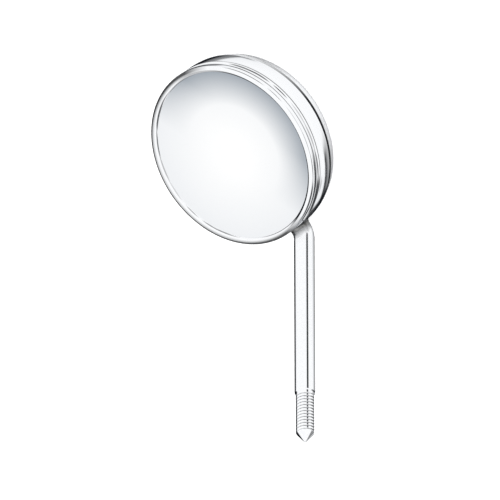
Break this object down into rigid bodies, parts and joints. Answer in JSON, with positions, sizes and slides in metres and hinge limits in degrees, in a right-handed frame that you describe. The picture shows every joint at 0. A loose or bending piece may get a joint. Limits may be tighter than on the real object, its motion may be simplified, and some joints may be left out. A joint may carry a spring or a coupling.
{
  "type": "mouth mirror",
  "caption": "Round dental mouth mirror head in a polished steel case, on a bent rod stem with a threaded, pointed end for a handle.",
  "frame": {"origin": "centre of the case's flat back face, which the head rests on", "axes": "+Z out of the mirror, square to it; +X towards the stem, which leaves the case along +X and then bends up to 45 degrees between +X and +Z"},
  "size_m": [0.05, 0.026, 0.0259],
  "materials": {
    "polished_steel": "mirror-polished stainless steel, uncoated",
    "pressed_steel": "pressed and polished stainless steel with faint turning lines on the back",
    "stem_steel": "polished stainless steel rod, satin in the thread",
    "silver_braze": "silver braze, as flowed",
    "seal_rubber": "matt black rubber",
    "clear_glass": "clear glass with a ground edge",
    "silver_film": "vapour-coated mirror film",
    "cured_adhesive": "cured clear-yellow adhesive",
    "cork_rubber": "matt cork-rubber sheet"
  },
  "bodies": {
    "root": {"front_bezel": "polished_steel", "rear_cup": "pressed_steel", "stem": "stem_steel", "braze_fillet": "silver_braze", "sealing_ring": "seal_rubber", "mirror_glass": "clear_glass", "reflective_coating": "silver_film", "adhesive_film": "cured_adhesive", "cushion_disc": "cork_rubber"}
  },
  "joints": []
}
